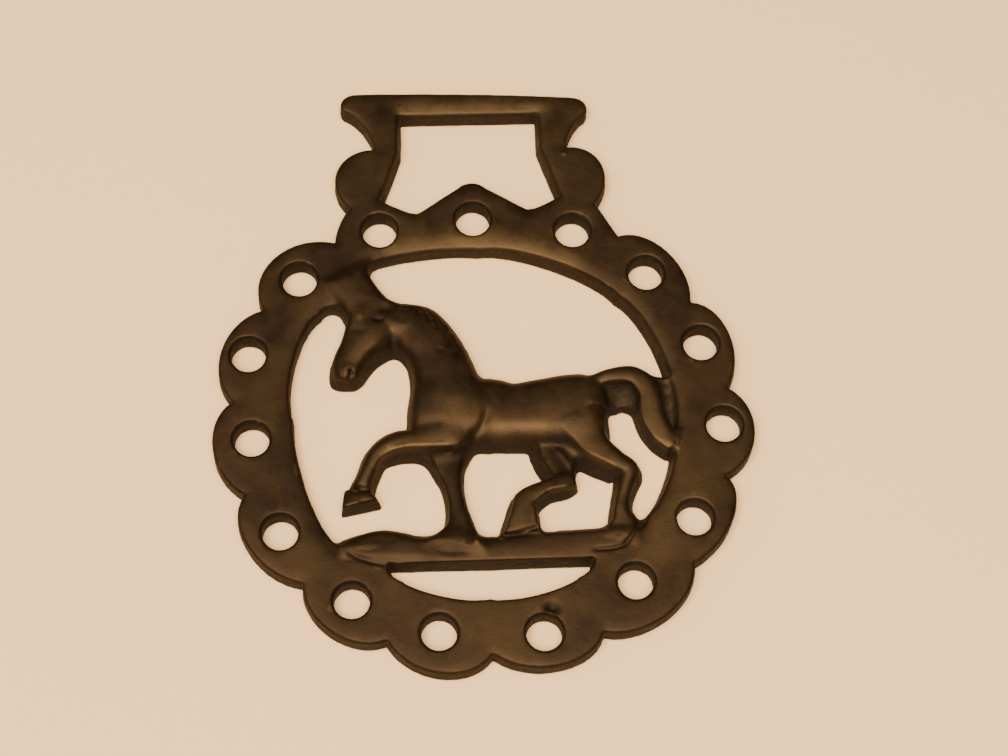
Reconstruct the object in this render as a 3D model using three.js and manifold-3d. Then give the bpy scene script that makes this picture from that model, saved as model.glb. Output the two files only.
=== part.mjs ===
// A cast horse brass: a pierced, scalloped border with a strap loop above it and a trotting horse
// inside it, all one casting with a flat back. It lies on its back, face up, with +Y towards the
// strap loop. Millimetres. Every position is measured from the middle of the border; the finished
// casting is moved so that its origin is under the middle of its footprint.

import * as THREE from 'three';
import { mergeVertices } from 'three/addons/utils/BufferGeometryUtils.js';
import Module from 'manifold-3d';

// ---- Driving sizes -------------------------------------------------------------------------

const PLATE = 3.9;             // thickness of the border and the strap loop
const EDGE_WIDTH = 0.6;        // how far a rounded upper edge reaches in from the side
const EDGE_DROP = 1.6;         // and how far it reaches down the side
const EDGE_TURN = [0.18, 0.5]; // the point where it turns: in from the side, down from the top
const DRAFT = 0.6;             // how much wider a limb is at the back than at its shoulder
const SHOULDER = 0.62;         // height of a limb's upright side, as a share of its crest
const FULLNESS = 0.2;          // how far along a curved stretch its control points stand
const CURVE_STEPS = 6;         // straight steps in one curved stretch of an outline
const DOME_STEPS = 6;          // straight steps over the rounded top of a limb
const LIMB_STEPS = 4;          // sections from one station of a limb to the next

// ---- Holes through the border --------------------------------------------------------------

const HOLE_RADIUS = 2.6;
const HOLE_SIDES = 16;
const HOLES = [
  [0.0, 31.0], [14.5, 28.7], [24.8, 21.5], [32.0, 10.2], [34.4, -2.4],
  [29.2, -16.2], [20.3, -25.2], [7.2, -32.1], [-7.3, -31.5], [-19.2, -26.5],
  [-28.9, -16.2], [-32.7, -2.2], [-33.0, 10.7], [-25.5, 22.2], [-13.7, 29.6],
];

// ---- Outlines ------------------------------------------------------------------------------
// Each row is where one stretch of an outline ends: x, y, how far the stretch bulges away from
// the straight line, and how far the bulge leans towards the stretch's end (-1 to 1).
// Outlines run clockwise, so a bulge above zero is away from the middle of the shape.

const BORDER_START = [-20.2, 27.9];
const STRAP_LOOP = [
  [-18.0, 33.3, 0.5],
  [-14.2, 42.9, 3.9],
  [-18.5, 49.3, -0.9],
  [-16.6, 52.1, 1.2, -0.1],
  [15.8, 50.6, 0.3],
  [17.3, 47.6, 1.2, 0.1],
  [14.5, 42.4, -0.6],
  [18.2, 33.0, 3.6, -0.04],
  [21.2, 27.6, 0],
];
const LOBES = [
  [31.1, 16.7, 3.4, -0.05],
  [35.5, 3.2, 3.4, -0.06],
  [34.1, -10.1, 4.0],
  [28.7, -22.9, 3.0, -0.12],
  [15.5, -32.4, 3.5, -0.04],
  [0.0, -35.0, 3.4, -0.06],
  [-14.6, -32.5, 3.6, -0.04],
  [-26.0, -23.8, 3.4],
  [-33.9, -10.5, 3.6, 0.07],
  [-35.4, 3.6, 3.6, 0.04],
  [-30.9, 17.6, 3.9, -0.02],
  [-20.2, 27.9, 4.7, -0.06],
];
const SLOT_START = [-13.0, 34.8];
const SLOT = [
  [-10.1, 42.4, -0.1],
  [-9.9, 48.1, 0],
  [10.0, 47.9, 0],
  [9.9, 42.6, 0],
  [12.5, 34.6, 0],
  [8.3, 32.6, 0.2],
  [2.2, 36.4, 0],
  [-2.2, 36.4, -0.7],
  [-8.3, 32.4, 0],
  [-13.0, 34.8, 0.2],
];
const OPENING_START = [-20.6, -18.4];
const OPENING = [
  [-26.7, 0.5, 1.7, -0.1],
  [-22.5, 16.7, 2.0, 0.04],
  [-19.2, 16.6, 1.1],
  [-13.0, 17.9, 0],
  [-16.2, 22.3, 0],
  [-14.6, 24.6, 0.6],
  [0.5, 26.0, 0.7],
  [20.0, 17.9, 1.9],
  [26.5, -3.3, 2.7],
  [22.2, -15.1, 1.2],
  [21.0, -17.6, 0],
  [-20.6, -18.4, 0],
];
const CRESCENT_START = [-13.6, -21.8];
const CRESCENT = [
  [14.2, -22.0, 0],
  [12.4, -24.0, 0.3],
  [0.0, -27.0, 1.1],
  [-12.0, -23.7, 1.0],
  [-13.6, -21.8, 0.3],
];

// ---- The horse -----------------------------------------------------------------------------
// Each limb is a row of stations along its middle line: x, y, half width, height of its crest.

const LIMBS = {
  poll: [[-18.4, 22.6, 3.0, 3.9], [-16.6, 19.2, 2.8, 4.1], [-15.0, 16.2, 3.4, 4.6]],
  head: [
    [-12.4, 15.6, 3.4, 4.6], [-15.3, 13.5, 4.2, 5.1], [-17.4, 10.8, 3.2, 4.9],
    [-18.7, 8.6, 2.9, 4.5], [-19.4, 7.1, 2.6, 4.3], [-19.8, 6.1, 1.6, 3.6],
  ],
  neck: [
    [-4.2, -4.4, 4.6, 3.9], [-4.5, -1.8, 6.1, 5.1], [-4.7, 2.0, 6.0, 5.3],
    [-5.1, 6.4, 5.1, 5.1], [-6.5, 10.8, 4.5, 4.9], [-9.1, 14.2, 4.4, 4.8],
    [-11.9, 16.0, 2.9, 4.6], [-13.7, 16.3, 2.4, 4.3],
  ],
  barrel: [
    [-5.0, 0.8, 4.0, 3.6], [0.8, 1.0, 5.6, 4.4], [4.5, 0.5, 5.2, 4.8], [8.5, 0.6, 5.6, 4.9],
    [12.5, 0.7, 6.0, 5.2], [15.8, 1.0, 5.5, 4.9], [18.2, 0.9, 3.6, 4.0],
  ],
  raisedForeleg: [
    [-0.8, -1.6, 1.4, 3.6], [-4.0, -3.0, 2.5, 4.9], [-8.0, -3.3, 2.4, 4.9],
    [-12.2, -3.4, 2.4, 4.5], [-15.1, -4.9, 2.0, 4.2], [-16.6, -7.9, 1.8, 4.0],
    [-17.6, -10.4, 2.1, 3.8],
  ],
  raisedHoof: [[-17.9, -9.8, 2.0, 3.4], [-17.8, -11.3, 2.5, 4.2], [-17.5, -12.9, 3.0, 4.2]],
  standingForeleg: [
    [-4.6, -3.4, 2.8, 3.4], [-5.1, -6.4, 2.8, 3.8], [-4.6, -9.6, 1.8, 3.6],
    [-4.1, -13.0, 1.7, 3.6], [-3.9, -16.0, 2.5, 3.8], [-4.4, -18.6, 3.8, 3.9],
  ],
  leadingThigh: [[10.5, -0.6, 4.0, 3.8], [10.1, -5.0, 3.8, 4.4], [10.9, -10.4, 2.0, 3.8]],
  leadingShank: [
    [12.9, -9.7, 1.2, 3.4], [11.4, -10.3, 1.6, 3.9], [8.6, -11.0, 1.6, 4.0],
    [5.7, -12.8, 2.3, 4.0], [5.0, -15.4, 2.8, 4.0], [4.8, -17.9, 3.6, 4.0],
  ],
  trailingThigh: [[13.4, -0.6, 4.4, 4.6], [15.6, -5.1, 3.3, 4.7], [19.4, -7.9, 2.4, 4.2]],
  trailingShank: [
    [18.8, -6.6, 1.9, 3.6], [20.4, -8.6, 2.3, 4.2], [19.5, -11.5, 1.7, 4.1],
    [19.1, -13.8, 1.8, 4.0], [19.3, -16.2, 2.8, 4.0], [18.5, -18.8, 3.0, 3.9],
  ],
  tail: [
    [15.5, 4.8, 1.0, 4.0], [18.6, 5.7, 1.2, 4.6], [22.0, 5.6, 1.8, 4.7], [24.1, 2.8, 1.8, 4.7],
    [24.1, -0.6, 2.1, 4.5], [25.1, -2.8, 2.0, 4.3], [26.8, -5.0, 1.4, 4.0],
  ],
  mound: [
    [-21.0, -18.8, 1.6, 3.9], [-14.8, -18.1, 2.5, 4.1], [-8.5, -18.9, 2.1, 4.0],
    [0.0, -19.4, 2.1, 4.0], [10.0, -18.8, 2.3, 4.0], [19.0, -18.6, 2.2, 3.9],
  ],
};

// Thin low webs, left rough by the mould, that tie the tail to the rump and to the border.
const WEB_HEIGHT = 2.2;
const WEBS = {
  rump: [[17.0, 5.0], [22.6, 5.0], [23.4, -1.2], [21.4, 0.6], [20.2, 1.0], [18.9, -2.0]],
  border: [[23.5, 6.0], [27.4, 5.5], [27.6, -3.5], [25.5, -3.0]],
};

// ---- Geometry helpers ----------------------------------------------------------------------

// A cubic curve's middle reaches three quarters of the way to its two control points.
const BULGE_TO_REACH = 4 / 3;
const BEVEL_STEPS = 2;
// Cutting solids reach well past the casting, so that they always cut right through it.
const CUTTER_SIZE = 200;
const SHAFT_DEPTH = PLATE * 3;

const wasm = await Module();
wasm.setup();

/** A closed three.js geometry as a manifold solid. */
function solid(geometry) {
  const bare = geometry.clone();
  bare.deleteAttribute('normal');
  bare.deleteAttribute('uv');
  const merged = mergeVertices(bare);
  return new wasm.Manifold(new wasm.Mesh({
    numProp: 3,
    vertProperties: new Float32Array(merged.attributes.position.array),
    triVerts: new Uint32Array(merged.index.array),
  }));
}

/** A manifold solid as a three.js geometry. */
function geometryOf(manifold) {
  const mesh = manifold.getMesh();
  const geometry = new THREE.BufferGeometry();
  geometry.setAttribute('position', new THREE.BufferAttribute(mesh.vertProperties, mesh.numProp));
  geometry.setIndex(new THREE.BufferAttribute(mesh.triVerts, 1));
  geometry.computeVertexNormals();
  return geometry;
}

/** Draws rows of bulging stretches into a path, from its start. */
function outline(path, start, rows) {
  let from = new THREE.Vector2(...start);
  path.moveTo(from.x, from.y);
  for (const [x, y, bulge, lean = 0] of rows) {
    const to = new THREE.Vector2(x, y);
    const along = to.clone().sub(from);
    const out = new THREE.Vector2(-along.y, along.x).setLength(bulge * BULGE_TO_REACH);
    const near = from.clone().addScaledVector(along, FULLNESS + lean).add(out);
    const far = to.clone().addScaledVector(along, lean - FULLNESS).add(out);
    if (bulge === 0) {
      path.lineTo(x, y);
    } else {
      path.bezierCurveTo(near.x, near.y, far.x, far.y, x, y);
    }
    from = to;
  }
  return path;
}

/** A plate of the outline's shape with a flat back and a rounded upper edge. */
function plate(shape) {
  const geometry = new THREE.ExtrudeGeometry(shape, {
    depth: PLATE,
    curveSegments: CURVE_STEPS,
    bevelThickness: EDGE_DROP,
    bevelSize: EDGE_WIDTH,
    bevelOffset: -EDGE_WIDTH,
    bevelSegments: BEVEL_STEPS,
  });
  geometry.translate(0, 0, -EDGE_DROP);
  const below = new THREE.BoxGeometry(CUTTER_SIZE, CUTTER_SIZE, PLATE);
  below.translate(0, 0, -PLATE / 2);
  return solid(geometry).subtract(solid(below));
}

/** A prism of an outline that widens over its first stretch, from one level to another. */
function flare(shape, [fromReach, fromDrop], [toReach, toDrop]) {
  const geometry = new THREE.ExtrudeGeometry(shape, {
    depth: PLATE,
    curveSegments: CURVE_STEPS,
    bevelThickness: fromDrop - toDrop,
    bevelSize: toReach - fromReach,
    bevelOffset: fromReach,
    bevelSegments: 1,
  });
  geometry.translate(0, 0, PLATE - toDrop);
  return solid(geometry);
}

/** What an opening takes out: a straight shaft, and two flares that round its upper edge. */
function opening(shape) {
  const shaft = new THREE.ExtrudeGeometry(shape, {
    depth: SHAFT_DEPTH,
    curveSegments: CURVE_STEPS,
    bevelEnabled: false,
  });
  shaft.translate(0, 0, -PLATE);
  return solid(shaft)
    .add(flare(shape, [0, EDGE_DROP], EDGE_TURN))
    .add(flare(shape, EDGE_TURN, [EDGE_WIDTH, 0]));
}

/** A round hole through the border. */
function hole([x, y]) {
  const ring = Array.from({ length: HOLE_SIDES }, (_, i) => {
    const a = i * 2 * Math.PI / HOLE_SIDES;
    return new THREE.Vector2(x + HOLE_RADIUS * Math.cos(a), y + HOLE_RADIUS * Math.sin(a));
  });
  return new THREE.Shape(ring);
}

/** The border and strap loop as one plate with a flat back. */
function borderPlate() {
  const openings = [
    outline(new THREE.Shape(), SLOT_START, SLOT),
    outline(new THREE.Shape(), OPENING_START, OPENING),
    outline(new THREE.Shape(), CRESCENT_START, CRESCENT),
    ...HOLES.map(hole),
  ];
  let border = plate(outline(new THREE.Shape(), BORDER_START, [...STRAP_LOOP, ...LOBES]));
  for (const shape of openings) {
    border = border.subtract(opening(shape));
  }
  return border;
}

/** A limb: upright sides and a domed top, swept along its stations. */
function limb(stations) {
  const line = new THREE.CatmullRomCurve3(
    stations.map(([x, y]) => new THREE.Vector3(x, y, 0)), false, 'centripetal');
  const size = new THREE.CatmullRomCurve3(
    stations.map(([, , half, crest]) => new THREE.Vector3(half, crest, 0)), false, 'centripetal');
  const sections = (stations.length - 1) * LIMB_STEPS;
  const ring = DOME_STEPS + 3;
  const points = [];
  for (let i = 0; i <= sections; i += 1) {
    const t = i / sections;
    const middle = line.getPoint(t);
    const along = line.getTangent(t);
    const { x: half, y: crest } = size.getPoint(t);
    const shoulder = crest * SHOULDER;
    const place = (offset, height) => {
      points.push(middle.x - along.y * offset, middle.y + along.x * offset, height);
    };
    place(-half, 0);
    for (let j = 0; j <= DOME_STEPS; j += 1) {
      const turn = Math.PI * j / DOME_STEPS;
      place(-(half - DRAFT) * Math.cos(turn), shoulder + (crest - shoulder) * Math.sin(turn));
    }
    place(half, 0);
  }
  const faces = [];
  for (let i = 0; i < sections; i += 1) {
    for (let j = 0; j < ring; j += 1) {
      const a = i * ring + j;
      const b = i * ring + (j + 1) % ring;
      faces.push(a, a + ring, b, b, a + ring, b + ring);
    }
  }
  const last = sections * ring;
  for (let j = 1; j < ring - 1; j += 1) {
    faces.push(0, j, j + 1, last, last + j + 1, last + j);
  }
  const geometry = new THREE.BufferGeometry();
  geometry.setAttribute('position', new THREE.Float32BufferAttribute(points, 3));
  geometry.setIndex(faces);
  return solid(geometry);
}

/** A flat web of metal from the back up to its own low height. */
function web(corners) {
  const shape = new THREE.Shape(corners.map(([x, y]) => new THREE.Vector2(x, y)));
  return solid(new THREE.ExtrudeGeometry(shape, { depth: WEB_HEIGHT, bevelEnabled: false }));
}

/** The whole casting. */
function casting() {
  let whole = borderPlate();
  for (const stations of Object.values(LIMBS)) {
    whole = whole.add(limb(stations));
  }
  for (const corners of Object.values(WEBS)) {
    whole = whole.add(web(corners));
  }
  const geometry = geometryOf(whole);
  geometry.computeBoundingBox();
  const middle = geometry.boundingBox.getCenter(new THREE.Vector3());
  geometry.translate(-middle.x, -middle.y, 0);
  return geometry;
}

const brass = new THREE.MeshStandardMaterial({ color: 0x5d4322, roughness: 0.42, metalness: 0.9 });
const horseBrass = new THREE.Mesh(casting(), brass);
horseBrass.name = 'horse_brass';

const part = new THREE.Group();
part.add(horseBrass);

export default part;
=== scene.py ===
"""The looks of a cast horse brass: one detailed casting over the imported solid, in a studio."""

import math

import bpy
import numpy as np
from mathutils import Matrix, Vector


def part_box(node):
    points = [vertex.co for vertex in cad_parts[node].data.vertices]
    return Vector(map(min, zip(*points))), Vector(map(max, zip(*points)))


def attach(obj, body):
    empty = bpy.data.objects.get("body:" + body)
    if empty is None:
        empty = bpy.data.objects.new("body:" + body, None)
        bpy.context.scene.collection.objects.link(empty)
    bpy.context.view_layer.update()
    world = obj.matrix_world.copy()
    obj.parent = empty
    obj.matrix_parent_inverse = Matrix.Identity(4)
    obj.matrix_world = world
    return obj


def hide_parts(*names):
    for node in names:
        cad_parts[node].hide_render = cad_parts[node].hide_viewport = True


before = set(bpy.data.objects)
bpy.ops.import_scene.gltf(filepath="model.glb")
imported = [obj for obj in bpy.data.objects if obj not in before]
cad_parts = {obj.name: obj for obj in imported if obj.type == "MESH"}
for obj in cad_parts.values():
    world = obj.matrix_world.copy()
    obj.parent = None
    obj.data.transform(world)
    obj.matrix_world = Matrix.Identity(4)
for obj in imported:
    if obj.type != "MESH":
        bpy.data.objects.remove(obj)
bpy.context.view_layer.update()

# ---- Sizes, in millimetres from the middle of the border ------------------------------------

PITCH = 0.2           # spacing of the grid that the casting is shaped on
PLATE = 3.9           # thickness of the border and the strap loop
FULLNESS = 0.2        # how far along a curved stretch its control points stand
FACES = 186000        # triangles left after the flat areas are simplified
LOWEST = (-38.4, -37.6, 0.0)    # box that holds the casting, without the grid's margin
HIGHEST = (38.9, 52.3, 5.4)

HOLE_RADIUS = 2.6     # of the solid's straight holes
HOLE_TAPER = 0.1      # how much narrower a hole is at the back
HOLE_ROUNDING = (0.7, 1.1)      # how far in and how far down a hole's upper rim is rounded
HOLE_REACH = 2.0      # how far from its side a hole changes the grid
HOLES = [
    (0.0, 31.0), (14.5, 28.7), (24.8, 21.5), (32.0, 10.2), (34.4, -2.4),
    (29.2, -16.2), (20.3, -25.2), (7.2, -32.1), (-7.3, -31.5), (-19.2, -26.5),
    (-28.9, -16.2), (-32.7, -2.2), (-33.0, 10.7), (-25.5, 22.2), (-13.7, 29.6),
]

# Outlines: the start, then rows of x, y, bulge and lean, clockwise.
BORDER = [
    (-20.2, 27.9),
    (-18.0, 33.3, 0.5), (-14.2, 42.9, 3.9), (-18.5, 49.3, -0.9), (-16.6, 52.1, 1.2, -0.1),
    (15.8, 50.6, 0.3), (17.3, 47.6, 1.2, 0.1), (14.5, 42.4, -0.6), (18.2, 33.0, 3.6, -0.04),
    (21.2, 27.6, 0), (31.1, 16.7, 3.4, -0.05), (35.5, 3.2, 3.4, -0.06), (34.1, -10.1, 4.0),
    (28.7, -22.9, 3.0, -0.12), (15.5, -32.4, 3.5, -0.04), (0.0, -35.0, 3.4, -0.06),
    (-14.6, -32.5, 3.6, -0.04), (-26.0, -23.8, 3.4), (-33.9, -10.5, 3.6, 0.07),
    (-35.4, 3.6, 3.6, 0.04), (-30.9, 17.6, 3.9, -0.02), (-20.2, 27.9, 4.7, -0.06)]
SLOT = [
    (-13.0, 34.8),
    (-10.1, 42.4, -0.1), (-9.9, 48.1, 0), (10.0, 47.9, 0), (9.9, 42.6, 0), (12.5, 34.6, 0),
    (8.3, 32.6, 0.2), (2.2, 36.4, 0), (-2.2, 36.4, -0.7), (-8.3, 32.4, 0), (-13.0, 34.8, 0.2)]
OPENING = [
    (-20.6, -18.4),
    (-26.7, 0.5, 1.7, -0.1), (-22.5, 16.7, 2.0, 0.04), (-19.2, 16.6, 1.1), (-13.0, 17.9, 0),
    (-16.2, 22.3, 0), (-14.6, 24.6, 0.6), (0.5, 26.0, 0.7), (20.0, 17.9, 1.9),
    (26.5, -3.3, 2.7), (22.2, -15.1, 1.2), (21.0, -17.6, 0), (-20.6, -18.4, 0)]
CRESCENT = [
    (-13.6, -21.8),
    (14.2, -22.0, 0), (12.4, -24.0, 0.3), (0.0, -27.0, 1.1), (-12.0, -23.7, 1.0),
    (-13.6, -21.8, 0.3)]

# The plate's edges: the outline, 1 where metal is inside it or -1 where it is outside, how much
# the edge is worn down and how far in from it, how far in and how far down it is rounded, and how
# much its side slopes where it faces left, right and down.
EDGES = [
    (OPENING, -1, (0.42, 2.8), (0.55, 0.8), (0.8, 0.1, 0.0)),
    (SLOT, -1, (0.34, 2.2), (0.6, 0.9), (0.5, 0.5, 0.0)),
    (BORDER, 1, (0.16, 1.8), (0.4, 0.55), (0.1, 0.1, 0.0)),
    (CRESCENT, -1, (0.06, 1.0), (0.3, 0.4), (0.6, 0.7, 0.4)),
]
EDGE_JOIN = 0.15      # how softly the sides of two outlines meet

# Limbs. Their near side faces the camera, along NEAR, and their far side faces away from it. Each
# has (edge rounding, slope at the start, slope at the end) of the near side, (edge rounding,
# slope) of the far side, how softly it joins the rest and the height of its edges as a share of
# its crest, then stations of x, y, half width and crest height.
NEAR = (-0.35, -0.94)
LIMBS = {
    "poll": ((0.8, 0.5, 0.5), (1.2, 0.4), 2.0, 0.95, [
        (-18.4, 22.6, 3.0, 3.9), (-16.6, 19.2, 2.8, 4.1), (-15.0, 16.2, 3.4, 4.4)]),
    "head": ((0.7, 1.0, 1.0), (0.9, 0.5), 1.2, 0.84, [
        (-12.4, 15.6, 3.4, 4.5), (-15.3, 13.5, 4.2, 4.9), (-17.4, 10.8, 3.2, 4.7),
        (-18.7, 8.6, 2.9, 4.5), (-19.2, 7.0, 2.6, 4.5), (-19.3, 5.7, 2.4, 4.3)]),
    "neck": ((1.4, 0.8, 0.8), (1.8, 0.6), 1.4, 0.84, [
        (-4.2, -4.4, 4.6, 3.9), (-4.5, -1.8, 6.1, 5.0), (-4.7, 2.0, 6.0, 5.3),
        (-5.1, 6.4, 5.1, 5.1), (-6.5, 10.8, 4.5, 4.9), (-9.1, 14.2, 4.4, 4.7),
        (-11.9, 16.0, 2.9, 4.5), (-13.7, 16.3, 2.4, 4.3)]),
    "barrel": ((3.0, 0.6, 0.6), (1.8, 0.7), 1.2, 0.84, [
        (-5.0, 0.8, 4.0, 3.8), (0.8, 1.0, 5.6, 4.6), (4.5, 0.5, 5.2, 4.9), (8.5, 0.6, 5.6, 5.0),
        (12.5, 0.7, 6.0, 5.1), (15.8, 1.0, 5.5, 4.9), (18.2, 0.9, 3.6, 4.3)]),
    "raisedForeleg": ((0.25, 1.0, 1.0), (1.4, 0.9), 0.8, 0.94, [
        (-0.8, -1.6, 1.4, 3.6), (-4.0, -3.0, 2.5, 4.8), (-8.0, -3.3, 2.4, 4.7),
        (-12.2, -3.4, 2.4, 4.5), (-15.1, -4.9, 2.0, 4.2), (-16.6, -7.9, 1.8, 4.0),
        (-17.6, -10.4, 2.1, 3.8)]),
    "raisedHoof": ((0.3, 0.3, 0.3), (0.8, 0.4), 0.4, 0.94, [
        (-17.9, -9.8, 2.0, 3.4), (-17.8, -11.3, 2.5, 3.9), (-17.5, -12.9, 3.0, 4.2)]),
    "standingForeleg": ((0.3, 0.8, 0.8), (0.9, 0.5), 2.4, 0.92, [
        (-4.6, -3.4, 2.8, 2.3), (-5.1, -6.4, 2.8, 3.0), (-4.6, -9.6, 1.8, 3.3),
        (-4.1, -13.0, 1.7, 3.5), (-3.9, -16.0, 2.5, 3.8), (-4.4, -18.6, 3.8, 3.8)]),
    "leadingThigh": ((0.4, 1.7, 1.7), (0.8, 0.5), 0.5, 0.96, [
        (10.5, -0.6, 4.0, 2.9), (10.1, -5.0, 3.8, 3.1), (10.9, -10.4, 2.0, 3.7)]),
    "leadingShank": ((0.25, 1.1, 1.1), (0.4, 0.6), 0.6, 0.94, [
        (12.9, -9.7, 1.2, 3.5), (11.4, -10.3, 1.6, 3.8), (8.6, -11.0, 1.6, 3.9),
        (5.7, -12.8, 2.3, 3.9), (5.0, -15.4, 2.8, 3.9), (4.8, -17.9, 3.6, 3.8)]),
    "trailingLeg": ((0.3, 1.8, 0.6), (1.2, 1.0), 1.2, 0.95, [
        (13.4, -0.6, 4.4, 4.5), (15.6, -5.1, 3.3, 4.7), (18.4, -7.3, 2.6, 4.45),
        (20.3, -8.7, 2.3, 4.2), (19.9, -10.6, 1.9, 4.1), (19.3, -12.6, 1.7, 4.0),
        (19.1, -14.4, 1.9, 4.0), (19.3, -16.6, 2.8, 3.9), (18.5, -18.8, 3.0, 3.8)]),
    "tail": ((0.25, 0.7, 0.7), (0.8, 0.8), 0.5, 0.95, [
        (15.5, 4.6, 1.4, 4.2), (18.6, 5.5, 1.6, 4.6), (22.0, 5.4, 2.0, 4.6), (23.9, 2.9, 2.2, 4.5),
        (24.2, -0.6, 2.4, 4.4), (25.3, -3.1, 2.3, 4.2), (27.4, -5.4, 1.9, 4.0)]),
    "tailEnd": ((0.25, 0.3, 0.3), (0.6, 0.4), 0.4, 0.97, [
        (25.8, -3.6, 1.6, 3.85), (28.2, -4.6, 1.9, 3.8)]),
    "mound": ((0.5, 0.5, 0.5), (1.4, 0.8), 0.9, 0.95, [
        (-21.0, -18.8, 1.6, 3.8), (-14.8, -18.1, 2.5, 3.9), (-8.5, -18.9, 2.1, 3.7),
        (0.0, -19.4, 2.1, 3.4), (10.0, -18.8, 2.3, 3.4), (19.0, -18.6, 2.2, 3.7)]),
}
# Rounding of a limb's two ends.
END_ROUNDING = {"head": 1.8, "mound": 1.2, "trailingLeg": 1.2, "leadingShank": 0.3}
PLAIN_END_ROUNDING = 0.4
FULL_SLOPE_AT = 2.2   # half width from which a limb has its whole slope
END_SLOPE = 0.1       # how far a limb's or a web's ends lean in for each mm of height

# Low rough metal between the rump, the tail and the border: height where y is 0, rise with y, and
# the corners.
WEB_ROUNDING = 0.8
WEB_JOIN = 1.0
WEBS = [
    (1.3, 0.4, [(17.0, 5.0), (22.6, 5.0), (23.4, -1.2), (21.4, 0.6), (20.2, 1.0), (19.0, 0.6),
                (17.0, 1.2)]),
    (2.7, 0.1, [(23.5, 6.0), (27.6, 5.5), (28.2, -1.5), (26.0, -2.4)]),
]

# Where the metal is painted lighter, or with an amount below zero darker: wear from handling, dark
# patches, painted highlights and painted shade. Rows of the two ends of a line, the reach around
# it and the amount.
RUBBED_AND_PAINTED_LIGHT = [
    # The strap loop and the border, bright: a painted highlight along the loop's top bar, a painted
    # highlight with wear along the opening's upper edge, and lighter patches.
    (-9, 49.4, 11, 49.4, 1.8, 0.8), (-12, 26.6, 0, 27.6, 2.4, 0.7), (0, 27.6, 13, 24.2, 2.6, 0.8),
    (-14, -26.5, 0, -31.5, 5.0, 0.15), (0, -31.5, 8, -30, 3.0, 0.1),
    (-25, 19.5, -25, 19.5, 3.0, 0.4), (24, -20, 28, -12, 3.5, 0.35),
    # The horse, bright: chest, belly, flank, neck, tail and trailing leg; on the chest and the
    # belly this is a painted highlight as well as wear.
    (-3.2, 0.6, -1.6, -0.6, 2.4, 0.7), (2.5, -2.6, 8, -2.6, 1.2, 0.8), (10, 0.5, 14, 1.5, 2.8, 0.1),
    (-5.5, 11.2, -5.5, 11.2, 1.6, 0.4), (24.5, 1, 26, -3, 1.5, 0.4), (20.5, -9, 20, -15, 1.4, 0.3),
    # The border, dark.
    (-33, -2, -30, -14, 5.0, -0.3), (32, 8, 28, 18, 5.0, -0.35), (-31, 14, -24, 26, 4.0, -0.25),
    # The horse, dark: poll, face, neck, back, thigh, foreleg and ground; along the back's upper
    # edge and on the thigh under the belly this is painted shade.
    (-15, 24, -12, 18, 3.5, -0.4), (-18, 10, -15, 15, 3.0, -0.3), (-6, 6, -7, 13, 4.0, -0.25),
    (4, 4.5, 14, 4.8, 2.0, -0.3), (10, -6, 11, -9, 1.8, -0.8), (-5, -7, -4, -13, 2.0, -0.5),
    (-18, -19, 0, -19, 2.0, -0.2),
    # Small and dark: a stain, painted shade in the eye and in the nostril, and the casting pit.
    (13.5, -31, 13.5, -31, 1.6, -0.8), (-14.8, 15, -13.8, 15, 0.5, -1.0),
    (-18.4, 7.4, -18, 7.3, 0.4, -1.0), (8.4, -28.7, 8.4, -28.7, 1.1, -1.2),
    # Narrow and bright: painted highlights along the near edges of the raised foreleg, the hind
    # legs and the tail's end.
    (-15.6, -7, -13.2, -4.9, 0.4, 1.2), (-13.2, -4.9, -10.5, -4.3, 0.4, 1.2),
    (-10.5, -4.3, -4, -4.2, 0.4, 1.2), (12, -5.3, 18, -8.2, 0.35, 1.0),
    (9, -11.4, 12.5, -11, 0.35, 1.2), (24.2, -4.4, 27.4, -6, 0.35, 1.2),
]

# ---- The grid --------------------------------------------------------------------------------

MARGIN = 3 * PITCH
xs, ys = (np.arange(LOWEST[n] - MARGIN, HIGHEST[n] + MARGIN, PITCH, dtype=np.float32)
          for n in (0, 1))
zs = np.arange(LOWEST[2] - 1.5 * PITCH, HIGHEST[2] + 2 * PITCH, PITCH, dtype=np.float32)
GX, GY = np.meshgrid(xs, ys, indexing="ij")
Z = zs[None, None, :]


def smoothstep(t):
    """Rises smoothly from 0 to 1 while t does."""
    t = np.clip(t, 0, 1)
    return t * t * (3 - 2 * t)


def bumps(size, seed, depth=None):
    """Smooth random values from -1 to 1 whose bumps are `size` mm apart, over the grid."""
    rng = np.random.default_rng(seed)
    axes = [xs, ys] if depth is None else [xs, ys, depth]
    cells = []
    for axis in axes:
        place = (axis - axis[0]) / size
        cell = place.astype(int)
        cells.append((cell, smoothstep(place - cell)))
    values = rng.uniform(-1, 1, [int(c.max()) + 2 for c, _ in cells]).astype(np.float32)
    for n, (cell, part) in enumerate(cells):
        shape = [1] * len(axes)
        shape[n] = -1
        part = part.reshape(shape).astype(np.float32)
        values = np.take(values, cell, n) * (1 - part) + np.take(values, cell + 1, n) * part
    return values


def outline(rows, steps=14):
    """The closed polygon of an outline, with its rows' bulges in so many steps."""
    points = []
    start = np.array(rows[0], float)
    for x, y, bulge, *lean in rows[1:]:
        lean = lean[0] if lean else 0.0
        end = np.array((x, y), float)
        along = end - start
        out = np.array((-along[1], along[0])) / np.linalg.norm(along) * bulge * 4 / 3
        near = start + along * (FULLNESS + lean) + out
        far = end + along * (lean - FULLNESS) + out
        count = steps if bulge else 1
        for t in np.arange(count) / count:
            points.append((1 - t) ** 3 * start + 3 * t * (1 - t) ** 2 * near
                          + 3 * t * t * (1 - t) * far + t ** 3 * end)
        start = end
    return np.array(points, np.float32)


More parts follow.
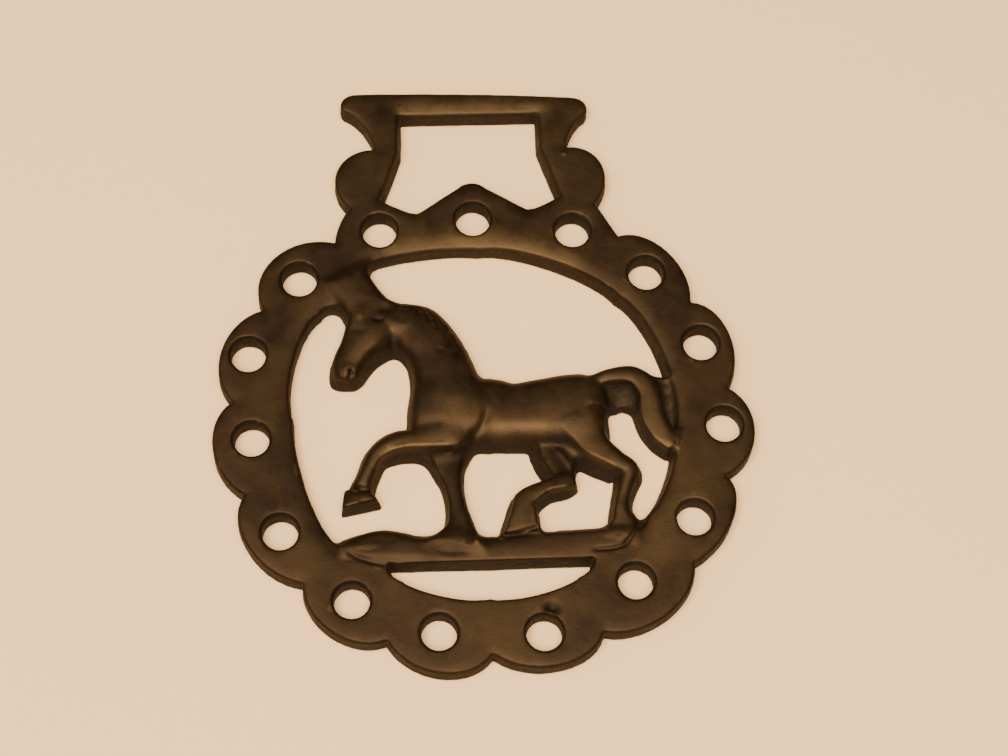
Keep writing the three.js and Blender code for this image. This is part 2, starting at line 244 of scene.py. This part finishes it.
def inside(polygon):
    """Distance from each grid point to an outline, above zero inside it."""
    nearest = np.full(GX.shape, 1e9, np.float32)
    within = np.zeros(GX.shape, bool)
    for (x0, y0), (x1, y1) in zip(polygon, np.roll(polygon, -1, 0)):
        dx, dy = x1 - x0, y1 - y0
        t = np.clip(((GX - x0) * dx + (GY - y0) * dy) / (dx * dx + dy * dy), 0, 1)
        nearest = np.minimum(nearest, (GX - x0 - t * dx) ** 2 + (GY - y0 - t * dy) ** 2)
        if y0 != y1:
            within ^= ((y0 > GY) != (y1 > GY)) & (GX < (GY - y0) * dx / dy + x0)
    return np.where(within, 1, -1) * np.sqrt(nearest)


def smooth_max(a, b, reach):
    """The larger of two fields, rounded where they are less than `reach` apart."""
    blend = np.maximum(reach - np.abs(a - b), 0) / reach
    return np.maximum(a, b) + blend * blend * reach / 4


def smooth_min(a, b, reach):
    return -smooth_max(-a, -b, reach)


def blurred(field, spread):
    """A flat field under a Gaussian blur of `spread` mm."""
    width = int(3 * spread / PITCH)
    kernel = np.exp(-0.5 * (np.arange(-width, width + 1) * PITCH / spread) ** 2)
    kernel /= kernel.sum()
    for axis in (0, 1):
        field = np.apply_along_axis(np.convolve, axis, field, kernel, "same")
    return field


def curve(stations, steps=10):
    """A smooth line through stations, a centripetal Catmull-Rom curve in all their columns."""
    s = np.array(stations, float)
    s = np.vstack([2 * s[0] - s[1], s, 2 * s[-1] - s[-2]])
    rows = []
    for i in range(1, len(s) - 2):
        gaps = [max(np.hypot(*(s[i + k, :2] - s[i + k - 1, :2])), 1e-3) ** 0.5 for k in (0, 1, 2)]
        for t in np.arange(steps) / steps:
            k0, k1, k2, k3 = -gaps[0], 0.0, gaps[1], gaps[1] + gaps[2]
            u = t * gaps[1]
            a1 = ((k1 - u) * s[i - 1] + (u - k0) * s[i]) / (k1 - k0)
            a2 = ((k2 - u) * s[i] + (u - k1) * s[i + 1]) / (k2 - k1)
            a3 = ((k3 - u) * s[i + 1] + (u - k2) * s[i + 2]) / (k3 - k2)
            b1 = ((k2 - u) * a1 + (u - k0) * a2) / (k2 - k0)
            b2 = ((k3 - u) * a2 + (u - k1) * a3) / (k3 - k1)
            rows.append(((k2 - u) * b1 + (u - k1) * b2) / (k2 - k1))
    return np.vstack([rows, s[-2]])


# ---- Relief on the upper surfaces ------------------------------------------------------------

relief = np.zeros(GX.shape, np.float32)


def window(points, reach):
    """The part of the grid within reach of some points."""
    p = np.array(points, float)[:, :2]
    i = np.searchsorted(xs, (p[:, 0].min() - reach, p[:, 0].max() + reach))
    j = np.searchsorted(ys, (p[:, 1].min() - reach, p[:, 1].max() + reach))
    return slice(*i), slice(*j)


def along_line(points, reach):
    """Window of a line, and each grid point's distance from it and share of the way along it."""
    area = window(points, reach)
    gx, gy = GX[area], GY[area]
    best = np.full(gx.shape, 1e9, np.float32)
    share = np.zeros(gx.shape, np.float32)
    p = np.array(points, float)
    for n in range(len(p) - 1):
        (x0, y0), (x1, y1) = p[n, :2], p[n + 1, :2]
        dx, dy = x1 - x0, y1 - y0
        t = np.clip(((gx - x0) * dx + (gy - y0) * dy) / (dx * dx + dy * dy), 0, 1)
        d = np.hypot(gx - x0 - t * dx, gy - y0 - t * dy)
        closer = d < best
        best = np.where(closer, d, best)
        share = np.where(closer, (n + t) / (len(p) - 1), share)
    return area, best, share


def stroke(points, width, height, fade=0.12):
    """A ridge (or with a height below zero a groove) along a line, fading at its ends."""
    area, d, share = along_line(curve(points, 5), width * 3)
    ends = smoothstep(share / fade) * smoothstep((1 - share) / fade) if fade else 1
    relief[area] += (height * np.exp(-(d / width) ** 2) * ends).astype(np.float32)


def dimple(x, y, radius, height):
    """A round bump, or with a height below zero a hollow."""
    area = window([(x, y)], radius * 3)
    d = np.hypot(GX[area] - x, GY[area] - y)
    relief[area] += (height * np.exp(-(d / radius) ** 2)).astype(np.float32)


# Head: eye and brow, a crease across the face, cheek, jaw, nostril and mouth.
dimple(-14.3, 15.0, 0.4, -0.15)
stroke([(-15.3, 15.1), (-14.3, 15.1), (-13.2, 15.1)], 0.3, -0.08)
stroke([(-18.7, 13.7), (-17.4, 13.6), (-16.0, 13.2)], 0.5, -0.12, 0.3)
dimple(-11.9, 14.0, 1.0, 0.05)
stroke([(-11.6, 12.9), (-12.8, 11.9), (-14.5, 10.3), (-16.3, 8.0), (-16.9, 6.0)], 0.7, -0.3, 0.25)
stroke([(-13.5, 11.9), (-15.0, 11.1), (-16.6, 9.4), (-17.2, 8.3)], 0.7, 0.1, 0.3)
stroke([(-10.8, 14.2), (-10.2, 12.6), (-9.8, 10.8)], 0.9, -0.12, 0.35)
stroke([(-19.6, 7.6), (-18.8, 8.1), (-18.0, 8.2)], 0.25, 0.07, 0.3)
dimple(-18.3, 7.4, 0.3, -0.3)
dimple(-19.6, 6.9, 0.4, -0.12)
stroke([(-18.4, 7.0), (-18.8, 6.0), (-19.0, 4.0)], 0.28, -0.45, 0)
# Neck: locks of the mane.
for x0, y0, x1, y1 in [
        (-9.2, 17.0, -8.3, 15.4), (-7.6, 16.2, -6.9, 14.3), (-6.3, 15.3, -5.8, 13.2),
        (-5.0, 14.0, -4.8, 12.0), (-3.9, 12.4, -4.3, 10.2), (-2.9, 10.4, -3.3, 8.6)]:
    stroke([(x0, y0), ((x0 + x1) / 2 + 0.2, (y0 + y1) / 2 + 0.1), (x1, y1)], 0.3, -0.26)
dimple(-5.7, 10.0, 0.4, -0.15)
# The shoulder over the girth, and the line over the raised leg.
stroke([(0.8, 1.6), (0.5, -0.2), (-0.2, -1.8), (-1.7, -3.4), (-3.4, -4.7)], 0.6, -0.34, 0.35)
stroke([(-11.0, -1.0), (-7.6, -1.1), (-4.6, -0.9)], 0.7, -0.2, 0.4)
# Legs: crisp lower edges and the tops of the hooves.
stroke([(-3.2, -4.4), (-8.0, -4.3), (-11.0, -4.3), (-13.3, -5.0), (-15.0, -6.4), (-15.8, -8.6)],
       0.3, 0.12)
stroke([(-19.8, -10.4), (-18.0, -10.8), (-16.1, -10.2)], 0.3, -0.22)
stroke([(12.2, -10.9), (10.6, -11.0), (8.9, -11.4), (7.3, -12.8), (6.7, -14.6), (6.9, -16.4)],
       0.3, 0.12)
stroke([(11.4, -4.6), (15.0, -6.3), (17.8, -8.1), (18.8, -10.0), (18.6, -13.0), (18.1, -15.4)],
       0.35, 0.08)
stroke([(9.8, -4.6), (11.3, -6.4), (12.8, -9.2)], 0.4, 0.2, 0.35)
# Ground: where the hooves stand, and where it meets the border.
stroke([(1.2, -18.2), (4.2, -17.6), (7.4, -16.8)], 0.35, -0.4, 0.1)
stroke([(-7.6, -19.8), (-4.8, -20.1), (-1.4, -19.8)], 0.4, -0.1, 0.35)
stroke([(-2.6, -16.4), (-2.2, -17.6), (-2.9, -19.6)], 0.5, -0.3, 0.3)
dimple(-1.6, -18.6, 0.7, 0.3)
stroke([(-19.8, -19.4), (-18.0, -20.4), (-16.0, -21.2), (-14.2, -21.6)], 0.35, -0.22)
stroke([(13.9, -20.5), (18.8, -20.0), (20.5, -18.0), (21.6, -16.0)], 0.28, -0.3)
# Casting pit and nick.
dimple(8.4, -28.7, 0.9, -0.5)
dimple(14.0, 41.2, 0.35, 0.2)
# Filed by hand, the faces aren't quite flat.
relief += 0.035 * bumps(7.0, 11) + 0.022 * bumps(2.6, 12) + 0.010 * bumps(0.9, 13)

# ---- The casting -----------------------------------------------------------------------------

RELIEF_FROM = 1.0     # height where the relief starts to show, and how far over it is whole
RELIEF_OVER = 1.6
BACK = 0.05           # depth of the rough back's middle level, and the rounding of its edge
BACK_ROUNDING = 0.35


def rounded(depth, z, top, width, drop):
    """How far inside a plate's side and top a point is, with its upper edge rounded."""
    a = np.maximum(1 - depth / width, 0)
    b = np.maximum(1 - (top - z) / drop, 0)
    return width * (1 - np.sqrt(a * a + b * b))


def drafted(depth, left, right, below):
    """How much a plate's side slopes, from the way that it faces."""
    gx, gy = (np.gradient(blurred(depth, 0.4), PITCH, axis=n) for n in (0, 1))
    return (left * np.clip(gx, 0, 1) + right * np.clip(-gx, 0, 1)
            + below * np.clip(gy, 0, 1)).astype(np.float32)


rough = 1.0 + 0.5 * bumps(2.5, 20)[:, :, None]
skin = 0.06 * bumps(0.6, 21, zs) * rough + 0.08 * bumps(1.9, 22, zs)
lift = smoothstep((Z - RELIEF_FROM) / RELIEF_OVER)
lifted = Z - relief[:, :, None] * lift
worn = np.zeros(GX.shape, np.float32)
edges = []
for shape, sign, (drop, reach), rounding, slopes in EDGES:
    depth = sign * inside(outline(shape))
    worn += drop * np.clip(1 - np.maximum(depth, 0) / reach, 0, 1) ** 2
    edges.append((depth, drafted(depth, *slopes), rounding))
plate_z = lifted + worn[:, :, None] * lift
solid = None
for depth, slope, rounding in edges:
    side = depth[:, :, None] - slope[:, :, None] * np.maximum(Z, 0) / PLATE
    part = rounded(side, plate_z, PLATE, *rounding)
    solid = part if solid is None else smooth_min(solid, part, EDGE_JOIN)
for x, y in HOLES:
    area = window([(x, y)], HOLE_RADIUS + HOLE_REACH)
    depth = (np.hypot(GX[area] - x, GY[area] - y) - HOLE_RADIUS + HOLE_TAPER).astype(np.float32)
    part = rounded(depth[:, :, None], plate_z[area], PLATE, *HOLE_ROUNDING)
    solid[area] = np.minimum(solid[area], part)

for name, (near_side, far_side, join, level, stations) in LIMBS.items():
    line = curve(stations)
    numbers = np.arange(len(line))
    area, off, share = along_line(line, max(s[2] for s in stations) + 1.0)
    place = share * (len(line) - 1)
    cx, cy, half, crest = (np.interp(place, numbers, line[:, n]) for n in range(4))
    gx, gy = GX[area], GY[area]
    lengths = np.r_[0, np.cumsum(np.hypot(*np.diff(line[:, :2], axis=0).T))]
    run = np.interp(place, numbers, lengths)
    ends = []
    for tip, inner, left in ((line[0], line[1], run), (line[-1], line[-2], lengths[-1] - run)):
        way = (tip[:2] - inner[:2]) / np.linalg.norm(tip[:2] - inner[:2])
        past = (gx - tip[0]) * way[0] + (gy - tip[1]) * way[1]
        ends.append(np.where(left < 1e-4, -past, left))
    reach_in = np.minimum(*ends)
    facing = ((gx - cx) * NEAR[0] + (gy - cy) * NEAR[1]) / np.maximum(off, 0.05)
    near = smoothstep(0.5 + 1.2 * facing)
    edge = far_side[0] + (near_side[0] - far_side[0]) * near
    near_slope = near_side[1] + (near_side[2] - near_side[1]) * share
    slope = far_side[1] + (near_slope - far_side[1]) * near
    slope = slope * np.minimum(half / FULL_SLOPE_AT, 1)
    rim = crest * level
    across = np.clip(off / np.maximum(half - slope, 0.3), 0, 1.3)
    dome = rim + (crest - rim) * (1 - across ** 2)
    slope, rim, half, edge, dome, off, reach_in = (
        v.astype(np.float32)[:, :, None] for v in (slope, rim, half, edge, dome, off, reach_in))
    z = lifted[area]
    side = half - slope * np.maximum(z, 0) / rim - off
    side = smooth_min(side, reach_in - END_SLOPE * np.maximum(z, 0),
                      END_ROUNDING.get(name, PLAIN_END_ROUNDING))
    limb = smooth_min(side, dome - z, edge)
    solid[area] = smooth_max(solid[area], limb, join)

for height, rise, corners in WEBS:
    depth = inside(np.array(corners, np.float32))
    uneven = height + rise * GY + 0.12 * bumps(0.8, 31) + 0.15 * bumps(1.7, 32)
    web = smooth_min(depth[:, :, None] - END_SLOPE * Z, uneven[:, :, None] - Z, WEB_ROUNDING)
    solid = smooth_max(solid, web, WEB_JOIN)

# The sides keep the mould's rough skin; the back is plain, with a soft edge.
solid += skin * smoothstep((3.4 - Z) / 0.8) * smoothstep(Z / 0.8)
back = BACK + 0.05 * bumps(1.1, 41) + 0.03 * bumps(3.0, 42)
solid = smooth_min(solid, Z - np.maximum(back, 0)[:, :, None], BACK_ROUNDING)


def surface(field):
    """Quads on the zero level of a field, by surface nets."""
    full = field > 0
    nx, ny, nz = (n - 1 for n in field.shape)
    count = np.zeros((nx, ny, nz), np.int8)
    corners = [(i, j, k) for i in (0, 1) for j in (0, 1) for k in (0, 1)]
    for i, j, k in corners:
        count += full[i:nx + i, j:ny + j, k:nz + k]
    cells = np.argwhere((count > 0) & (count < 8))
    number = np.full((nx, ny, nz), -1, np.int32)
    number[tuple(cells.T)] = np.arange(len(cells))
    values = {c: field[tuple((cells + c).T)] for c in corners}
    total = np.zeros((len(cells), 3))
    crossings = np.zeros(len(cells))
    for c in corners:
        for axis in range(3):
            if c[axis]:
                continue
            d = tuple(v + (n == axis) for n, v in enumerate(c))
            a, b = values[c], values[d]
            cross = (a > 0) != (b > 0)
            t = np.where(cross, a / np.where(cross, a - b, 1), 0)
            point = np.array(c, float) + np.outer(t, np.eye(3)[axis])
            total += np.where(cross[:, None], point, 0)
            crossings += cross
    points = cells + total / crossings[:, None]
    quads = []
    for axis in range(3):
        lower = [slice(None)] * 3
        upper = [slice(None)] * 3
        lower[axis], upper[axis] = slice(0, -1), slice(1, None)
        a, b = full[tuple(lower)], full[tuple(upper)]
        for flip, change in ((False, a & ~b), (True, b & ~a)):
            at = np.argwhere(change)
            u, v = (axis + 1) % 3, (axis + 2) % 3
            ring = []
            for du, dv in ((1, 1), (0, 1), (0, 0), (1, 0)):
                q = at.copy()
                q[:, u] -= du
                q[:, v] -= dv
                ring.append(number[tuple(q.T)])
            ring = np.stack(ring if not flip else ring[::-1], 1)
            quads.append(ring)
    return points, np.vstack(quads)


points, quads = surface(solid)
points = np.array([xs[0], ys[0], zs[0]]) + points * PITCH


def shaped(name, points, faces):
    """A mesh from points in metres and faces that all have the same number of corners."""
    mesh = bpy.data.meshes.new(name)
    mesh.vertices.add(len(points))
    mesh.vertices.foreach_set("co", points.astype(np.float32).ravel())
    mesh.loops.add(faces.size)
    mesh.loops.foreach_set("vertex_index", faces.astype(np.int32).ravel())
    mesh.polygons.add(len(faces))
    starts = np.arange(0, faces.size, faces.shape[1], dtype=np.int32)
    mesh.polygons.foreach_set("loop_start", starts)
    mesh.update(calc_edges=True)
    mesh.validate()
    return mesh


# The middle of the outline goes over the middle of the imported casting.
cad_low, cad_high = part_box("horse_brass")
cad_middle = np.array([(cad_low.x + cad_high.x) / 2, (cad_low.y + cad_high.y) / 2]) * 1000
middle = (points[:, :2].min(0) + points[:, :2].max(0)) / 2
shift = cad_middle - middle
points[:, :2] += shift
brass = bpy.data.objects.new("brass_casting", shaped("brass_casting", points / 1000, quads))
bpy.context.scene.collection.objects.link(brass)

decimate = brass.modifiers.new("simplify", "DECIMATE")
decimate.ratio = FACES / (2 * len(quads))
evaluated = brass.evaluated_get(bpy.context.evaluated_depsgraph_get())
simple = bpy.data.meshes.new_from_object(evaluated)
brass.modifiers.clear()
brass.data = simple
brass.data.name = "brass_casting"
brass.data.shade_smooth()

# ---- Marks on the surface for its finish, painted highlights and painted shade ---------------

WIDE, CLOSE = 1.2, 0.45         # spreads that the height around a point is averaged over
HOLLOW_DEPTH = 1.6              # how far below the metal around it a point counts as all hollow
CREVICE_FROM, CREVICE_DEPTH = 0.03, 0.2     # the same for narrow grooves
CREVICE_SHARE = 0.6
PROUD_HEIGHT = 0.5              # how far above the metal around it a point counts as all proud
UPPER_FROM, UPPER_OVER = 0.3, 0.6           # heights between which hollows begin to count

mass = (solid > 0).any(2).astype(np.float32)
from_above = PITCH * np.argmax(solid[:, :, ::-1] > 0, 2)
top = np.where(mass > 0, zs[-1] - from_above, 0.0).astype(np.float32)


def sample(field, at):
    """Values of a field of the grid at some places, between its points."""
    u = np.clip((at[:, 0] - xs[0]) / PITCH, 0, len(xs) - 1.001)
    v = np.clip((at[:, 1] - ys[0]) / PITCH, 0, len(ys) - 1.001)
    i, j = u.astype(int), v.astype(int)
    u, v = u - i, v - j
    return ((field[i, j] * (1 - u) + field[i + 1, j] * u) * (1 - v)
            + (field[i, j + 1] * (1 - u) + field[i + 1, j + 1] * u) * v)


def top_around(at, spread):
    """The average height of the metal around some places."""
    return sample(blurred(top * mass, spread) / (blurred(mass, spread) + 1e-3), at)


co = np.empty(len(simple.vertices) * 3)
simple.vertices.foreach_get("co", co)
co = co.reshape(-1, 3) * 1000
at, height = co[:, :2] - shift, co[:, 2]
# Hollows and narrow grooves, which the finish darkens with painted shade as well as soot.
around = top_around(at, WIDE)
crevice = np.clip((top_around(at, CLOSE) - height - CREVICE_FROM) / CREVICE_DEPTH, 0, 1)
hollow = np.clip((around - height) / HOLLOW_DEPTH, 0, 1)
hollow = np.clip(hollow + CREVICE_SHARE * crevice, 0, 1)
hollow *= smoothstep((height - UPPER_FROM) / UPPER_OVER)
proud = np.clip((height - around) / PROUD_HEIGHT, 0, 1)
# Wear and painted highlights lift this mark above a half; painted shade and dark patches lower it.
wear_and_painted_light = np.zeros(len(at))
for x0, y0, x1, y1, radius, amount in RUBBED_AND_PAINTED_LIGHT:
    dx, dy = x1 - x0, y1 - y0
    t = np.clip(((at[:, 0] - x0) * dx + (at[:, 1] - y0) * dy) / (dx * dx + dy * dy + 1e-6), 0, 1)
    d = np.hypot(at[:, 0] - x0 - t * dx, at[:, 1] - y0 - t * dy)
    wear_and_painted_light += amount * np.exp(-(d / radius) ** 2)
wear_and_painted_light = np.clip(wear_and_painted_light * 0.5 + 0.5, 0, 1)
for name, values in (("hollow", hollow), ("proud", proud), ("wear_and_painted_light", wear_and_painted_light)):
    layer = simple.attributes.new(name, "FLOAT", "POINT")
    layer.data.foreach_set("value", values.astype(np.float32))

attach(brass, "root")
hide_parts("horse_brass")

# ---- Materials -------------------------------------------------------------------------------


class Nodes:
    """Short ways to add and join a material's nodes."""

    def __init__(self, material):
        material.use_nodes = True
        self.tree = material.node_tree
        self.tree.nodes.clear()

    def put(self, socket, value):
        """Link a socket to another, or set it to a number or colour."""
        if isinstance(value, bpy.types.NodeSocket):
            self.tree.links.new(value, socket)
        else:
            socket.default_value = value

    def add(self, kind, inputs=None, **settings):
        node = self.tree.nodes.new(kind)
        for key, value in settings.items():
            setattr(node, key, value)
        for key, value in (inputs or {}).items():
            self.put(node.inputs[key], value)
        return node

    def mark(self, name):
        return self.add("ShaderNodeAttribute", attribute_name=name).outputs["Fac"]

    def noise(self, where, scale, detail, roughness, distortion=0.0):
        return self.add("ShaderNodeTexNoise", {
            "Vector": where, "Scale": scale, "Detail": detail, "Roughness": roughness,
            "Distortion": distortion}).outputs["Fac"]

    def ramp(self, value, low, high, to_low=0.0, to_high=1.0):
        return self.add("ShaderNodeMapRange", {
            "Value": value, "From Min": low, "From Max": high, "To Min": to_low,
            "To Max": to_high}).outputs["Result"]

    def math(self, how, a, b=0.0):
        return self.add("ShaderNodeMath", {0: a, 1: b}, operation=how).outputs[0]

    def mix(self, share, a, b):
        return self.add("ShaderNodeMix", {0: share, 6: a, 7: b}, data_type="RGBA").outputs[2]

    def finish(self, shader):
        out = self.add("ShaderNodeOutputMaterial")
        self.put(out.inputs["Surface"], shader.outputs["BSDF"])


def patinated_brass():
    """Dark brown patina, golden where rubbed and where highlights are painted, with soot and
    painted shade in hollows and on the rough sides.
    """
    material = bpy.data.materials.new("patinated_brass")
    n = Nodes(material)
    where = n.add("ShaderNodeTexCoord").outputs["Object"]
    shape = n.add("ShaderNodeNewGeometry")
    facing = n.add("ShaderNodeSeparateXYZ", {"Vector": shape.outputs["Normal"]}).outputs["Z"]
    hollow, proud, wear_and_painted_light = n.mark("hollow"), n.mark("proud"), n.mark("wear_and_painted_light")

    cloud = n.noise(where, 95, 3, 0.55, 0.6)
    patch = n.noise(where, 330, 4, 0.6, 0.3)
    grain = n.noise(where, 1500, 3, 0.6)
    dark = (0.018, 0.0088, 0.0042, 1)
    olive = (0.038, 0.0208, 0.0078, 1)
    gold = (0.105, 0.062, 0.023, 1)
    shade_and_soot = (0.013, 0.008, 0.004, 1)
    dust = (0.115, 0.072, 0.030, 1)

    # Patina, in clouds and patches, lighter where handled and where highlights are painted, darker
    # where shade is painted.
    mottle = n.math("ADD", n.ramp(cloud, 0.36, 0.64, 0, 0.6), n.ramp(patch, 0.35, 0.7, 0, 0.3))
    mottle = n.math("ADD", mottle, n.ramp(wear_and_painted_light, 0.2, 0.8, -0.35, 0.45))
    colour = n.mix(n.ramp(mottle, 0, 1), dark, olive)
    # Gold where handled and along painted highlights.
    polish_and_painted_highlight = n.math("MULTIPLY", n.ramp(wear_and_painted_light, 0.55, 1.0), n.ramp(patch, 0.3, 0.6, 0.15, 0.5))
    colour = n.mix(polish_and_painted_highlight, colour, gold)
    # Bright metal on edges and ridges.
    edge = n.ramp(shape.outputs["Pointiness"], 0.52, 0.60)
    rub = n.math("MULTIPLY", n.math("MAXIMUM", edge, n.math("MULTIPLY", proud, 0.35)),
                 n.ramp(patch, 0.3, 0.65, 0.35, 1))
    colour = n.mix(n.math("MULTIPLY", rub, 0.45), colour, gold)
    # Soot and painted shade in hollows, on the sides and in the table's dark places, and light
    # grains of dust in hollows and on the sides.
    wall = n.ramp(facing, 0.82, 0.2)
    deep = n.math("MINIMUM", n.math("ADD", n.math("MULTIPLY", wall, 0.55),
                                    n.math("MULTIPLY", hollow, 1.1)), 1.0)
    soot_and_painted_shade = n.math("MULTIPLY", n.math("MAXIMUM", deep, n.ramp(wear_and_painted_light, 0.22, 0.0, 0, 0.85)),
                   n.ramp(grain, 0.3, 0.62, 1.0, 0.7))
    colour = n.mix(soot_and_painted_shade, colour, shade_and_soot)
    dusty = n.math("MULTIPLY", deep, n.ramp(n.noise(where, 3400, 2, 0.7), 0.56, 0.72, 0, 0.4))
    colour = n.mix(dusty, colour, dust)

    roughness = n.math("ADD", n.ramp(patch, 0.3, 0.7, 0.46, 0.60), n.math("MULTIPLY", deep, 0.28))
    metal = n.ramp(deep, 0.0, 1.0, 0.85, 0.5)
    pitted = n.math("MULTIPLY", n.noise(where, 900, 4, 0.65), n.ramp(deep, 0, 1, 0.3, 1.4))
    height = n.math("ADD", pitted, n.math("MULTIPLY", n.noise(where, 3600, 2, 0.6), 0.16))
    bump = n.add("ShaderNodeBump", {"Strength": 0.45, "Distance": 0.0002, "Height": height})
    n.finish(n.add("ShaderNodeBsdfPrincipled", {
        "Base Color": colour, "Metallic": metal, "Roughness": roughness,
        "Specular IOR Level": 0.25, "Normal": bump.outputs["Normal"]}))
    return material


def plain_floor():
    material = bpy.data.materials.new("plain_floor")
    n = Nodes(material)
    n.finish(n.add("ShaderNodeBsdfPrincipled", {
        "Base Color": (0.92, 0.57, 0.27, 1), "Roughness": 0.9, "Specular IOR Level": 0.2}))
    return material


simple.materials.append(patinated_brass())

# ---- Floor, light and camera -----------------------------------------------------------------

FLOOR_SIZE = 4
FLOOR_GAP = 0.00002   # the floor lies this far below the casting
WORLD_COLOUR = (1.0, 0.86, 0.70, 1)
WORLD_STRENGTH = 0.25
LAMP_COLOUR = (1.0, 0.93, 0.84)

# The camera's angles, in degrees, its distance, in metres, and the place that it looks at.
LENS = 93.74
SENSOR_WIDTH = 36
CLIP_START = 0.01
AZIMUTH = -6.885
ELEVATION = 68.0
ROLL = 4.473
DISTANCE = 0.3788
AIM = (3.56, 7.19)

bpy.ops.mesh.primitive_plane_add(size=FLOOR_SIZE, location=(0, 0, cad_low.z - FLOOR_GAP))
floor = bpy.context.object
floor.name = "floor"
floor.data.materials.append(plain_floor())

world = bpy.data.worlds.new("studio")
bpy.context.scene.world = world
world.use_nodes = True
background = world.node_tree.nodes["Background"]
background.inputs["Color"].default_value = WORLD_COLOUR
background.inputs["Strength"].default_value = WORLD_STRENGTH


def direction(azimuth, elevation):
    """The way from the casting to something at these angles; azimuth 0 is the front."""
    a, e = math.radians(azimuth), math.radians(elevation)
    return Vector((math.sin(a) * math.cos(e), -math.cos(a) * math.cos(e), math.sin(e)))


def softbox(name, azimuth, elevation, distance, size, power):
    """A rectangular soft light that faces the casting."""
    light = bpy.data.lights.new(name, "AREA")
    light.shape = "RECTANGLE"
    light.size, light.size_y = size
    light.energy = power
    light.color = LAMP_COLOUR
    lamp = bpy.data.objects.new(name, light)
    back = direction(azimuth, elevation)
    lamp.location = back * distance
    lamp.rotation_mode = "QUATERNION"
    lamp.rotation_quaternion = (-back).to_track_quat("-Z", "Y")
    bpy.context.scene.collection.objects.link(lamp)


softbox("key", -20, 74, 0.9, (0.6, 0.5), 20)
softbox("front", -30, 45, 1.0, (1.0, 0.4), 1.5)
softbox("left", -100, 40, 1.1, (0.9, 0.6), 2)

camera = bpy.data.objects.new("camera", bpy.data.cameras.new("camera"))
camera.data.lens = LENS
camera.data.sensor_width = SENSOR_WIDTH
camera.data.clip_start = CLIP_START
aim = Vector(((AIM[0] + shift[0]) / 1000, (AIM[1] + shift[1]) / 1000, cad_low.z))
back = direction(AZIMUTH, ELEVATION)
azimuth, roll = math.radians(AZIMUTH), math.radians(ROLL)
right = Vector((math.cos(azimuth), math.sin(azimuth), 0))
up = back.cross(right)
tilted_right = right * math.cos(roll) + up * math.sin(roll)
tilted_up = up * math.cos(roll) - right * math.sin(roll)
axes = Matrix((tilted_right, tilted_up, back)).transposed()
camera.matrix_world = Matrix.Translation(aim + back * DISTANCE) @ axes.to_4x4()
bpy.context.scene.collection.objects.link(camera)
bpy.context.scene.camera = camera

bpy.context.view_layer.update()
